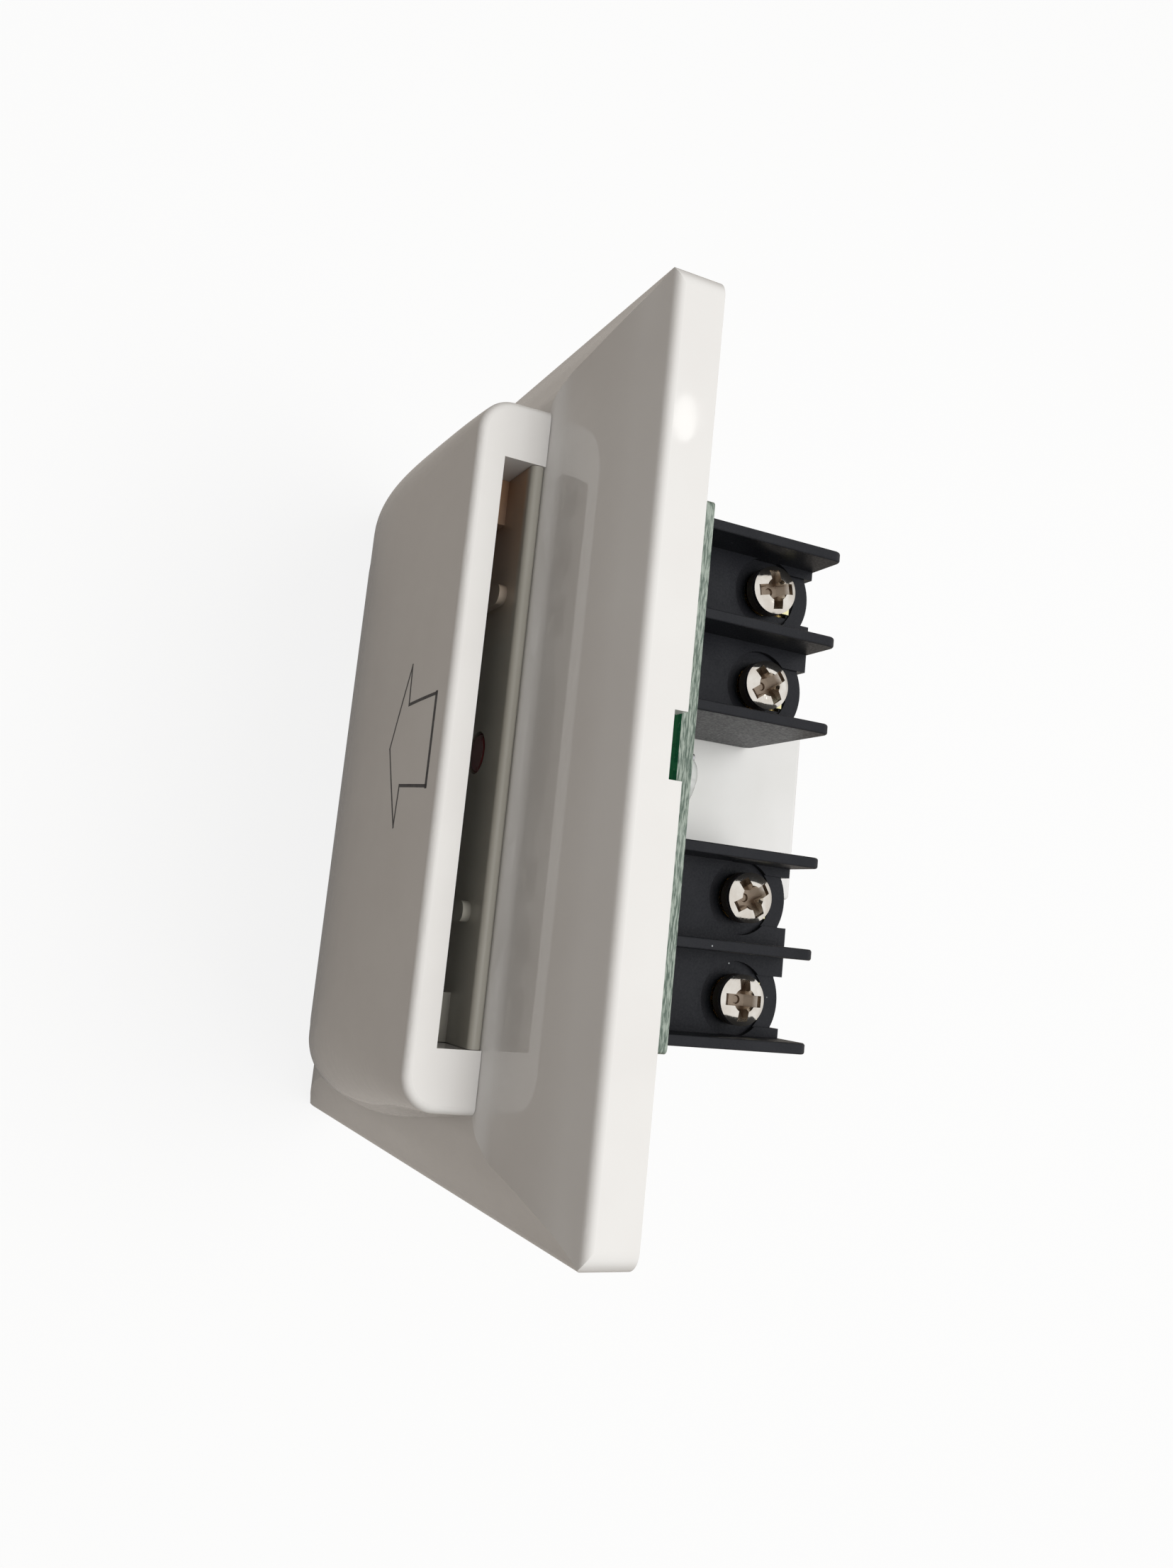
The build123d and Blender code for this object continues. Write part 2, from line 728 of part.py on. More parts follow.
with BuildPart() as relay_base:
    with BuildSketch(depth_plane(board_rear)):
        with Locations((0, relay_middle)):
            Rectangle(relay_inner_width - 2 * running_fit, relay_inner_height - 2 * running_fit)
        with Locations(*relay_pin_places):
            Rectangle(pin_side + 2 * running_fit, pin_side + 2 * running_fit, mode=Mode.SUBTRACT)
    extrude(amount=-relay_base_thickness)
save(relay_base, "relay_base")

with BuildPart() as relay_pins:
    with BuildSketch(depth_plane(pin_end)):
        with Locations(*relay_pin_places[:2]):
            Rectangle(pin_side, pin_side)
    extrude(amount=-(base_rear + yoke_thickness - pin_end))
save(relay_pins, "relay_pins")

with BuildPart() as relay_bobbin:
    with BuildSketch(depth_plane(bobbin_front)):
        with Locations((0, coil_level)):
            Circle(bobbin_radius)
    extrude(amount=-coil_length)
    for depth in (bobbin_front, bobbin_rear - bobbin_flange):
        with BuildSketch(depth_plane(depth)):
            with Locations((0, coil_level)):
                Circle(bobbin_flange_radius - running_fit)
        extrude(amount=-bobbin_flange)
    with BuildSketch(depth_plane(bobbin_front)):
        with Locations((0, coil_level)):
            Circle(core_radius + running_fit)
    extrude(amount=-coil_length, mode=Mode.SUBTRACT)
save(relay_bobbin, "relay_bobbin")

with BuildPart() as relay_winding:
    with BuildSketch(depth_plane(bobbin_front + bobbin_flange + running_fit)):
        with Locations((0, coil_level)):
            Circle(winding_radius)
            Circle(bobbin_radius + running_fit, mode=Mode.SUBTRACT)
    extrude(amount=-(coil_length - 2 * bobbin_flange - 2 * running_fit))
save(relay_winding, "relay_winding")

with BuildPart() as relay_core:
    with BuildSketch(depth_plane(base_rear)):
        with Locations((0, coil_level)):
            Circle(core_radius)
    extrude(amount=-(pole_face - base_rear))
    with BuildSketch(depth_plane(bobbin_rear)):
        with Locations((0, coil_level)):
            Circle(core_head_radius)
    extrude(amount=-core_head_thickness)
save(relay_core, "relay_core")

with BuildPart() as relay_yoke:
    with BuildSketch(Plane.YZ):
        with BuildLine():
            Polyline(
                (base_rear, coil_level - core_head_radius), (base_rear, yoke_top_level),
                (yoke_rear, yoke_top_level), (yoke_rear, yoke_top_level - yoke_thickness),
                (bobbin_front, yoke_top_level - yoke_thickness),
                (bobbin_front, coil_level - core_head_radius),
                close=True,
            )
        make_face()
    extrude(amount=yoke_width / 2, both=True)
    with BuildSketch(depth_plane(base_rear)):
        with Locations((0, coil_level)):
            Circle(core_radius + running_fit)
    extrude(amount=-yoke_thickness, mode=Mode.SUBTRACT)
    with BuildSketch(depth_plane(pin_end)):
        with Locations((0, yoke_middle)):
            Rectangle(pin_side, pin_side)
    extrude(amount=-(base_rear - pin_end))
save(relay_yoke, "relay_yoke")

with BuildPart() as relay_armature:
    with BuildSketch(depth_plane(armature_front)):
        with Locations((0, yoke_top_level)):
            Rectangle(
                yoke_width, yoke_top_level - coil_level + core_head_radius + yoke_thickness,
                align=(Align.CENTER, Align.MAX),
            )
    extrude(amount=-armature_thickness)
save(relay_armature, "relay_armature")

blade_root_level = coil_level + core_radius
blade_end_level = fixed_contact_level - contact_button_radius - running_fit

with BuildPart() as moving_contact:
    with BuildSketch(depth_plane(armature_rear)):
        with Locations((0, blade_root_level)):
            Rectangle(blade_width, blade_root_level - blade_end_level, align=(Align.CENTER, Align.MAX))
    extrude(amount=-blade_thickness)
    with BuildSketch(depth_plane(armature_rear)):
        with Locations((0, fixed_contact_level)):
            Circle(contact_button_radius)
    extrude(amount=contact_button_height)
save(moving_contact, "moving_contact")

with BuildPart() as fixed_contact:
    with BuildSketch(Plane.YZ):
        with BuildLine():
            Polyline(
                (base_rear, fixed_post_level - post_thickness / 2),
                (fixed_face - contact_button_height, fixed_post_level - post_thickness / 2),
                (fixed_face - contact_button_height, fixed_contact_level + pin_side / 2),
                (fixed_face - contact_button_height - post_thickness, fixed_contact_level + pin_side / 2),
                (fixed_face - contact_button_height - post_thickness, fixed_post_level + post_thickness / 2),
                (base_rear, fixed_post_level + post_thickness / 2),
                close=True,
            )
        make_face()
    extrude(amount=post_width / 2, both=True)
    with BuildSketch(depth_plane(fixed_face)):
        with Locations((0, fixed_contact_level)):
            Circle(contact_button_radius)
    extrude(amount=contact_button_height)
    with BuildSketch(depth_plane(pin_end)):
        with Locations((0, fixed_post_level)):
            Rectangle(pin_side, pin_side)
    extrude(amount=-(base_rear - pin_end))
save(fixed_contact, "fixed_contact")

spring_outer_level = yoke_top_level + running_fit + spring_thickness
spring_rear = armature_rear + spring_gap + spring_thickness

with BuildPart() as armature_spring:
    with BuildSketch(Plane.YZ):
        with BuildLine():
            Polyline(
                (bobbin_front, spring_outer_level), (spring_rear, spring_outer_level),
                (spring_rear, yoke_top_level - yoke_thickness),
                (spring_rear - spring_thickness, yoke_top_level - yoke_thickness),
                (spring_rear - spring_thickness, spring_outer_level - spring_thickness),
                (bobbin_front, spring_outer_level - spring_thickness),
                close=True,
            )
        make_face()
    extrude(amount=spring_width / 2, both=True)
save(armature_spring, "armature_spring")


# Parts on the front of the board, all standing on it
sensor_front = plate_face - sensor_clearance

with BuildPart() as sensor_body:
    with BuildSketch(depth_plane(board_depth)):
        with Locations((0, window_level)):
            Rectangle(sensor_width, sensor_height)
    extrude(amount=board_depth + sensor_front)
    with BuildSketch(Plane.XZ.offset(sensor_front)):
        with Locations((-eye_pitch / 2, window_level), (eye_pitch / 2, window_level)):
            Circle(eye_radius + running_fit)
    extrude(amount=-eye_length, mode=Mode.SUBTRACT)
save(sensor_body, "sensor_body")

for side, name in ((-1, "ir_emitter"), (1, "ir_receiver")):
    with BuildPart() as eye:
        with BuildSketch(Plane.XZ.offset(sensor_front)):
            with Locations((side * eye_pitch / 2, window_level)):
                Circle(eye_radius)
        extrude(amount=-eye_length)
        extrude(eye.faces().sort_by(Axis.Y)[0], amount=eye_rise)
        fillet(eye.faces().sort_by(Axis.Y)[0].edges(), eye_round)
    save(eye, name)

with BuildPart() as indicator_lamp:
    with BuildSketch(depth_plane(board_depth)):
        with Locations((0, lamp_level)):
            Circle(lamp_radius + lamp_flange_rim)
    extrude(amount=lamp_flange)
    with BuildSketch(depth_plane(board_depth)):
        with Locations((0, lamp_level)):
            Circle(lamp_radius)
    extrude(amount=lamp_length)
    fillet(indicator_lamp.faces().sort_by(Axis.Y)[0].edges(), lamp_radius * lamp_dome_share)
save(indicator_lamp, "indicator_lamp")

with BuildPart() as film_capacitor:
    with BuildSketch(depth_plane(board_depth)):
        with Locations((0, film_level)):
            Rectangle(film_length, film_width)
    extrude(amount=film_depth)
    fillet(film_capacitor.faces().sort_by(Axis.Y)[0].edges(), film_round)
save(film_capacitor, "film_capacitor")

with BuildPart() as smoothing_capacitor:
    with BuildSketch(depth_plane(board_depth)):
        with Locations((-column_place, can_level)):
            Circle(can_radius)
    extrude(amount=can_length)
    with BuildSketch(depth_plane(board_depth - 2 * can_groove)):
        with Locations((-column_place, can_level)):
            Circle(can_radius)
            Circle(can_radius - can_groove, mode=Mode.SUBTRACT)
    extrude(amount=2 * can_groove, mode=Mode.SUBTRACT)
    fillet(smoothing_capacitor.faces().sort_by(Axis.Y)[0].edges(), can_groove)
save(smoothing_capacitor, "smoothing_capacitor")

with BuildPart() as control_chip:
    with BuildSketch(depth_plane(board_depth)):
        with Locations((column_place, chip_level)):
            Rectangle(chip_length, chip_width)
        with Locations((column_place - chip_length / 2, chip_level)):
            Circle(chip_notch_radius, mode=Mode.SUBTRACT)
    extrude(amount=chip_depth)
save(control_chip, "control_chip")

with BuildPart() as driver_transistor:
    with BuildSketch(depth_plane(board_depth)):
        with Locations((column_place, transistor_level)):
            Circle(transistor_radius)
        with Locations((column_place, transistor_level - transistor_radius / 2)):
            Rectangle(
                2 * transistor_radius, transistor_radius, align=(Align.CENTER, Align.MAX), mode=Mode.SUBTRACT
            )
    extrude(amount=transistor_length)
save(driver_transistor, "driver_transistor")


def lying_plane(place, radius):
    """Plane across the axis of a round part that lies along the board, just clear of it."""
    return Plane(origin=(place, board_depth - running_fit - radius, 0), x_dir=(0, 0, 1), z_dir=(1, 0, 0))


with BuildPart() as rectifier_diodes:
    with BuildSketch(lying_plane(-column_place, diode_radius)):
        for count in range(diode_count):
            with Locations((diode_level + count * diode_pitch, 0)):
                Circle(diode_radius)
    extrude(amount=diode_length / 2, both=True)
save(rectifier_diodes, "rectifier_diodes")

with BuildPart() as resistors:
    with BuildSketch(lying_plane(column_place, resistor_radius)):
        for count in range(resistor_count):
            with Locations((resistor_level + count * resistor_pitch, 0)):
                Circle(resistor_radius)
    extrude(amount=resistor_length / 2, both=True)
save(resistors, "resistors")

with BuildPart() as fuse:
    with BuildSketch(lying_plane(column_place, fuse_radius)):
        with Locations((fuse_level, 0)):
            Circle(fuse_radius - fuse_cap_rise)
    extrude(amount=fuse_length / 2, both=True)
    for side in (-1, 1):
        with BuildSketch(lying_plane(column_place + side * fuse_length / 2, fuse_radius)):
            with Locations((fuse_level, 0)):
                Circle(fuse_radius)
        extrude(amount=-side * fuse_cap_length)
save(fuse, "fuse")

with BuildPart() as varistor:
    with BuildSketch(Plane.XY.offset(varistor_level)):
        with Locations((-column_place, board_depth - running_fit - varistor_radius)):
            Circle(varistor_radius)
    extrude(amount=varistor_thickness / 2, both=True)
    fillet(varistor.edges(), varistor_round)
save(varistor, "varistor")


# Solder on the pins and two dots at the top edge of the board, under a dab of glue
dot_level = board_top - dot_inset

with BuildPart() as solder_joints:
    for place, level in pin_places:
        with BuildSketch(depth_plane(board_depth)):
            with Locations((place, level)):
                Circle(solder_radius)
                Rectangle(pin_side + 2 * running_fit, pin_side + 2 * running_fit, mode=Mode.SUBTRACT)
        extrude(amount=solder_height, taper=solder_taper)
    for place in (-dot_pitch / 2, dot_pitch / 2):
        with BuildSketch(depth_plane(board_rear)):
            with Locations((place, dot_level)):
                Circle(dot_radius)
        extrude(amount=-dot_radius, taper=solder_taper)
save(solder_joints, "solder_joints")

with BuildPart() as dab_ball:
    Sphere(1)
    scale(by=(dab_width / 2, dab_rise, dab_height / 2))

with BuildPart() as glue_dab:
    add(dab_ball.part.moved(Location((dab_offset, board_rear, board_top - dab_height / 2))))
    with BuildSketch(depth_plane(board_rear)):
        with Locations((0, board_middle)):
            Rectangle(board_width, 2 * board_height)
    extrude(amount=board_rear, mode=Mode.SUBTRACT)
    add(solder_joints.part, mode=Mode.SUBTRACT)
save(glue_dab, "glue_dab")
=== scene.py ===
import math

import bmesh
import bpy
from mathutils import Matrix, Vector, noise


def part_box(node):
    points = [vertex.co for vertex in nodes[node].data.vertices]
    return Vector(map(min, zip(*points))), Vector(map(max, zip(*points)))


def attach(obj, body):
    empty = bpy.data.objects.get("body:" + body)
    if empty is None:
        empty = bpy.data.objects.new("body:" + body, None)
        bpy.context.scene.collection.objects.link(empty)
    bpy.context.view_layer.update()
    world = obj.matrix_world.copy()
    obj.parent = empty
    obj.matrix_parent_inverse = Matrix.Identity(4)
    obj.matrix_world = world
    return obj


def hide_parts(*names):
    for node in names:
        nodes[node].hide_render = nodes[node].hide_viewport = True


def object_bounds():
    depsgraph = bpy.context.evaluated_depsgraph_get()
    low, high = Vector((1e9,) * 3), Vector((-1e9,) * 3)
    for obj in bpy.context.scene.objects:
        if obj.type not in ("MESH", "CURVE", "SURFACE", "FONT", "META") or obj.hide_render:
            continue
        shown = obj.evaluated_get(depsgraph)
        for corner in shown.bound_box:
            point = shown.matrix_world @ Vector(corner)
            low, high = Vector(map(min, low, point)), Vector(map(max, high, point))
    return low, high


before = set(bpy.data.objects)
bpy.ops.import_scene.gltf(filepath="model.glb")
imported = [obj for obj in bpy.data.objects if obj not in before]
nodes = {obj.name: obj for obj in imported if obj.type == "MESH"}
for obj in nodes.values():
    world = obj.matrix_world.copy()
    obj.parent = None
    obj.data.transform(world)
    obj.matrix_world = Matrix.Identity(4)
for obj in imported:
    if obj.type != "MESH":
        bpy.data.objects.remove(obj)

cad_box = [list(corner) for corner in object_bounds()]

# Camera. The switch is seen from above and in front, lying on its side in the picture, with its
# top edge to the right. The lens and the place come from the corners of the 86 mm plate.
millimetre = 0.001
image_width, image_height = 1655, 2212
focal_pixels = 1803.9
optical_centre = (814.4, 1051.3)
camera_place = Vector((17.466, -53.510, 136.029)) * millimetre
camera_right = Vector((-0.1009, 0.89464, 0.43525))
camera_up = Vector((-0.98294, -0.15726, 0.09536))
sensor_width = 36.0

camera = bpy.data.objects.new("camera", bpy.data.cameras.new("camera"))
bpy.context.scene.collection.objects.link(camera)
bpy.context.scene.camera = camera
turn = Matrix((camera_right, camera_up, camera_right.cross(camera_up))).transposed()
camera.matrix_world = Matrix.Translation(camera_place) @ turn.to_4x4()
camera.data.sensor_width = sensor_width
camera.data.lens = focal_pixels / image_height * sensor_width
camera.data.shift_x = (image_width / 2 - optical_centre[0]) / image_height
camera.data.shift_y = (optical_centre[1] - image_height / 2) / image_height
camera.data.clip_start = millimetre
bpy.context.scene.view_settings.view_transform = "Standard"

# Studio lamps, in metres and watts. A soft panel above and behind the plate lights its top edge and
# the terminals, and the room side gets a faint one. Small ceiling lamps show only as soft glints in
# the glossy plastic, mostly along the top edge.
top_panel_place, top_panel_width, top_panel_power = (0.03, 0.18, 0.68), 0.45, 3.55
front_panel_place, front_panel_width, front_panel_power = (-0.10, -0.70, 0.15), 0.60, 0.42
top_panel_colour, front_panel_colour = (1.0, 0.985, 0.965), (1.0, 0.94, 0.89)
ceiling_height = 0.60
ceiling_power_per_area = 6
ceiling_colour = (1.0, 1.0, 0.98)
# Each ceiling lamp: its place along x and y, its width and its length.
ceiling_lamps = (
    (-0.305, 0.300, 0.016, 0.030), (-0.250, 0.332, 0.018, 0.040), (-0.200, 0.334, 0.016, 0.050),
    (-0.045, 0.334, 0.016, 0.030), (0.060, 0.275, 0.014, 0.050), (0.118, 0.332, 0.018, 0.060),
)


def soft_panel(name, place, aim, length, width, power, colour):
    """An oval lamp at this place, turned to what it aims at."""
    data = bpy.data.lights.new(name, "AREA")
    data.shape = "ELLIPSE"
    data.size, data.size_y = length, width
    data.energy = power
    data.color = colour
    panel = bpy.data.objects.new(name, data)
    bpy.context.scene.collection.objects.link(panel)
    panel.location = place
    panel.rotation_euler = (Vector(aim) - Vector(place)).to_track_quat("-Z", "Y").to_euler()
    return panel


top_panel = soft_panel(
    "top_panel", top_panel_place, (0, 0, 0), top_panel_width, top_panel_width, top_panel_power,
    top_panel_colour
)
top_panel.visible_glossy = False
front_panel = soft_panel(
    "front_panel", front_panel_place, (0, 0, 0), front_panel_width, front_panel_width, front_panel_power,
    front_panel_colour
)
front_panel.visible_glossy = False
for number, (x, y, width, length) in enumerate(ceiling_lamps, start=1):
    lamp = soft_panel(
        f"ceiling_lamp_{number}", (x, y, ceiling_height), (x, y, 0), length, width,
        ceiling_power_per_area * width * length, ceiling_colour
    )
    lamp.visible_diffuse = False

# Surroundings. The background shows white. The plastic is lit by, and mirrors, a room that is pale
# above and behind the plate and a warm grey in front of it and below.
sky_low, sky_middle, sky_high = (0.20, 0.178, 0.160, 1), (0.40, 0.378, 0.352, 1), (0.95, 0.96, 0.97, 1)
sky_middle_level, sky_high_level = 0.30, 0.75
sky_lean = 0.55
mirrored_strength, lighting_strength = 1.0, 0.56


def add_node(tree, kind, inputs=None, **settings):
    """A shader node with its settings. Each input gets a value, or the socket that feeds it."""
    made = tree.nodes.new(kind)
    for name, setting in settings.items():
        setattr(made, name, setting)
    for name, given in (inputs or {}).items():
        if isinstance(given, bpy.types.NodeSocket):
            tree.links.new(given, made.inputs[name])
        else:
            made.inputs[name].default_value = given
    return made


def add_math(tree, operation, *terms):
    """What an operation gives for its terms, which are numbers or sockets."""
    return add_node(tree, "ShaderNodeMath", dict(enumerate(terms)), operation=operation).outputs[0]


def add_ramp(tree, source, *stops):
    """The source turned to a colour by stops, each a level and a colour: first, last, then between."""
    ramp = add_node(tree, "ShaderNodeValToRGB", {0: source})
    held = ramp.color_ramp.elements
    for index, (level, colour) in enumerate(stops):
        stop = held[index] if index < 2 else held.new(level)
        stop.position = level
        stop.color = colour
    return ramp.outputs[0]


def mix_shaders(tree, share, first, second):
    """The first shader going over to the second as the share goes from 0 to 1."""
    return add_node(tree, "ShaderNodeMixShader", {0: share, 1: first, 2: second}).outputs[0]


world = bpy.data.worlds.new("studio")
bpy.context.scene.world = world
world.use_nodes = True
tree = world.node_tree
tree.nodes.clear()
path = add_node(tree, "ShaderNodeLightPath")
seen = add_math(tree, "MAXIMUM", path.outputs["Is Camera Ray"], path.outputs["Is Transmission Ray"])
way = add_node(tree, "ShaderNodeTexCoord")
split = add_node(tree, "ShaderNodeSeparateXYZ", {0: way.outputs["Generated"]})
sky_level = add_math(tree, "MULTIPLY_ADD", split.outputs["Y"], sky_lean, split.outputs["Z"])
sky = add_ramp(tree, sky_level, (0.0, sky_low), (sky_high_level, sky_high), (sky_middle_level, sky_middle))
white = add_node(tree, "ShaderNodeBackground", {"Color": (1, 1, 1, 1), "Strength": 1.0})
mirrored = add_node(tree, "ShaderNodeBackground", {"Color": sky, "Strength": mirrored_strength})
lighting = add_node(tree, "ShaderNodeBackground", {"Color": sky, "Strength": lighting_strength})
room = mix_shaders(tree, path.outputs["Is Glossy Ray"], lighting.outputs[0], mirrored.outputs[0])
add_node(tree, "ShaderNodeOutputWorld", {0: mix_shaders(tree, seen, room, white.outputs[0])})

# Floor, a sheet of white paper that the switch stands on. It shows white and keeps a faint shadow,
# and sends only a little warm light back into the plastic.
floor_half = 1.5
paper_roughness = 0.9
paper_dark, paper_light = (0.80, 0.80, 0.79, 1), (0.84, 0.84, 0.83, 1)
paper_bounce = (0.34, 0.305, 0.27, 1)
fibre_scale = 30.0
seen_glow, mirrored_glow = 0.86, 0.12

floor_mesh = bpy.data.meshes.new("floor")
floor_signs = ((-1, -1), (1, -1), (1, 1), (-1, 1))
floor_corners = [(x * floor_half, y * floor_half, cad_box[0][2]) for x, y in floor_signs]
floor_mesh.from_pydata(floor_corners, [], [(0, 1, 2, 3)])
floor = bpy.data.objects.new("floor", floor_mesh)
bpy.context.scene.collection.objects.link(floor)
paper = bpy.data.materials.new("paper")
paper.use_nodes = True
tree = paper.node_tree
sheet = tree.nodes["Principled BSDF"]
sheet.inputs["Roughness"].default_value = paper_roughness
sheet.inputs["Specular IOR Level"].default_value = 0.0
fibre = add_node(tree, "ShaderNodeTexNoise", {"Scale": fibre_scale})
fibres = add_ramp(tree, fibre.outputs["Fac"], (0.0, paper_dark), (1.0, paper_light))
path = add_node(tree, "ShaderNodeLightPath")
seen = add_math(tree, "MAXIMUM", path.outputs["Is Camera Ray"], path.outputs["Is Transmission Ray"])
tone = add_node(tree, "ShaderNodeMix", {0: seen, "A": paper_bounce, "B": fibres}, data_type="RGBA")
tree.links.new(tone.outputs["Result"], sheet.inputs["Base Color"])
glow = add_node(tree, "ShaderNodeEmission", {"Color": (1, 1, 1, 1), "Strength": 1.0})
glow_share = add_math(
    tree, "MAXIMUM", add_math(tree, "MULTIPLY", seen, seen_glow),
    add_math(tree, "MULTIPLY", path.outputs["Is Glossy Ray"], mirrored_glow)
)
surface = mix_shaders(tree, glow_share, sheet.outputs[0], glow.outputs[0])
tree.links.new(surface, tree.nodes["Material Output"].inputs["Surface"])
floor_mesh.materials.append(paper)

# Faceplate: injection moulded in glossy white ABS, with a skirt, four snap legs behind and a pry
# notch in the middle of its top edge. Its mould skin has a slight sink. It snaps onto the frame.
coat_roughness = 0.04
drift_detail, skin_detail = 4.0, 6.0
noise_low, noise_high = 0.3, 0.7


def add_range(tree, source, start, end, low=0.0, high=1.0):
    """The source brought from start and end to low and high, and held there beyond."""
    span = {"Value": source, "From Min": start, "From Max": end, "To Min": low, "To Max": high}
    return add_node(tree, "ShaderNodeMapRange", span).outputs[0]


def finish(name, dark, light, patch, rough, grain, depth, metallic=0.0, coat=0.0, glass=0.0,
           stretch=(1, 1, 1)):
    """A finish: colour drifts from dark to light over patches, and grain roughens and dents it.

    patch and grain are sizes in millimetres, depth is the grain's height in millimetres.
    """
    made = bpy.data.materials.new(name)
    made.use_nodes = True
    tree = made.node_tree
    shader = tree.nodes["Principled BSDF"]
    place = add_node(tree, "ShaderNodeTexCoord")
    stretched = {"Vector": place.outputs["Object"], "Scale": stretch}
    where = add_node(tree, "ShaderNodeMapping", stretched).outputs[0]

    drift = {"Vector": where, "Scale": 1 / (patch * millimetre), "Detail": drift_detail}
    drifting = add_node(tree, "ShaderNodeTexNoise", drift).outputs["Fac"]
    tint = add_ramp(tree, drifting, (noise_low, (*dark, 1)), (noise_high, (*light, 1)))
    tree.links.new(tint, shader.inputs["Base Color"])

    skin = {"Vector": where, "Scale": 1 / (grain * millimetre), "Detail": skin_detail}
    height = add_node(tree, "ShaderNodeTexNoise", skin).outputs["Fac"]
    tree.links.new(add_range(tree, height, noise_low, noise_high, *rough), shader.inputs["Roughness"])
    dent = {"Height": height, "Distance": depth * millimetre, "Strength": 1.0}
    tree.links.new(add_node(tree, "ShaderNodeBump", dent).outputs[0], shader.inputs["Normal"])

    shader.inputs["Metallic"].default_value = metallic
    shader.inputs["Coat Weight"].default_value = coat
    shader.inputs["Coat Roughness"].default_value = coat_roughness
    shader.inputs["Transmission Weight"].default_value = glass
    return made


def dress(material, *names):
    """Gives this material to the named nodes."""
    for name in names:
        nodes[name].data.materials.clear()
        nodes[name].data.materials.append(material)


gloss_white = finish(
    "gloss_white", dark=(0.735, 0.72, 0.70), light=(0.77, 0.76, 0.74), patch=14,
    rough=(0.02, 0.06), grain=3.0, depth=0.0015, coat=0.5
)
dress(gloss_white, "faceplate")

# Card hood: a second moulding in the same ABS, pegged to the plate, with a rounded lip round the
# card slot. A plain arrow is pad printed on its front in thin black ink.
hood_white = finish(
    "hood_white", dark=(0.73, 0.715, 0.695), light=(0.765, 0.755, 0.735), patch=11,
    rough=(0.04, 0.09), grain=2.6, depth=0.002, coat=0.3
)
dress(hood_white, "card_hood")

arrow_corners = (
    (0.0, 12.9), (-8.0, 16.9), (-4.0, 17.2), (-4.4, 23.8), (4.4, 23.8), (4.0, 17.2), (8.0, 16.9),
)
arrow_base_corner = 3
arrow_line, arrow_base_line = 0.33, 0.48
ink_height = 0.003
ink_step = 0.4
in_front_of_hood = -40.0


def on_hood(x, z):
    """The point of the hood's front over this place, a film of ink above the surface."""
    origin = Vector((x, in_front_of_hood, z)) * millimetre
    point, normal = nodes["card_hood"].ray_cast(origin, Vector((0, 1, 0)))[1:3]
    return point + normal * ink_height * millimetre


shape = bmesh.new()
for index, corner in enumerate(arrow_corners):
    start, end = Vector(corner), Vector(arrow_corners[(index + 1) % len(arrow_corners)])
    width = arrow_base_line if index == arrow_base_corner else arrow_line
    along = (end - start).normalized()
    side = Vector((-along.y, along.x)) * width / 2
    start, end = start - along * width / 2, end + along * width / 2
    steps = max(2, round((end - start).length / ink_step))
    last = None
    for step in range(steps + 1):
        middle = start.lerp(end, step / steps)
        pair = [shape.verts.new(on_hood(*(middle + side * hand))) for hand in (-1, 1)]
        if last:
            shape.faces.new((last[0], pair[0], pair[1], last[1]))
        last = pair
bmesh.ops.recalc_face_normals(shape, faces=shape.faces)
arrow_mesh = bpy.data.meshes.new("arrow_print")
shape.to_mesh(arrow_mesh)
shape.free()
arrow_print = bpy.data.objects.new("arrow_print", arrow_mesh)
bpy.context.scene.collection.objects.link(arrow_print)
printing_ink = finish(
    "printing_ink", dark=(0.022, 0.022, 0.026), light=(0.045, 0.045, 0.05), patch=1.5,
    rough=(0.35, 0.5), grain=0.3, depth=0.002
)
arrow_mesh.materials.append(printing_ink)
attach(arrow_print, "cover")

# Card pocket: the tray that the card slides down, with guide ribs, end tabs and a stop at its foot.
# It is moulded in the same white ABS, less polished. Its colour is painted far darker than that white
# as painted shade of the pocket's inside, and below its rim it is painted brown towards one end as painted
# warm shade.
# Painted shade: below the rim and towards the -X end the tray is painted brown, standing for the warm
# shade deep in the pocket.
painted_shade_from, painted_shade_full = -10.0, -26.0
rim_height, inside_height = 26.0, 25.0
painted_shade_colour = (0.42, 0.25, 0.15, 1)


def recolour(material, share, colour):
    """Goes over to another colour, or to what a socket gives, as far as the share says."""
    tree = material.node_tree
    base = tree.nodes["Principled BSDF"].inputs["Base Color"]
    blend = {0: share, "A": base.links[0].from_socket, "B": colour}
    tree.links.new(add_node(tree, "ShaderNodeMix", blend, data_type="RGBA").outputs["Result"], base)


# Painted shade: the tray's white is written as a dark warm grey, standing for the shade inside the pocket.
tray_white = finish(
    "tray_white", dark=(0.335, 0.32, 0.275), light=(0.395, 0.38, 0.335), patch=26,
    rough=(0.16, 0.24), grain=2.4, depth=0.003
)
tree = tray_white.node_tree
# Painted shade mask: the brown grows along x towards the -X end, and down from the rim top into the
# pocket.
place = add_node(tree, "ShaderNodeTexCoord")
split = add_node(tree, "ShaderNodeSeparateXYZ", {0: place.outputs["Object"]})
painted_shade_near_end = add_range(tree, split.outputs["X"], painted_shade_from * millimetre, painted_shade_full * millimetre)
painted_shade_below_rim = add_range(tree, split.outputs["Z"], rim_height * millimetre, inside_height * millimetre)
recolour(tray_white, add_math(tree, "MULTIPLY", painted_shade_near_end, painted_shade_below_rim), painted_shade_colour)
dress(tray_white, "card_pocket")

# Sensor window: the small filter lens in the tray's rear wall, in front of the sensor pair. It is
# moulded in dark red polycarbonate, clear to infra-red and nearly black to the eye.
window_red = finish(
    "window_red", dark=(0.12, 0.010, 0.014), light=(0.17, 0.014, 0.018), patch=2,
    rough=(0.04, 0.10), grain=1.0, depth=0.002, coat=0.6
)
dress(window_red, "sensor_window")

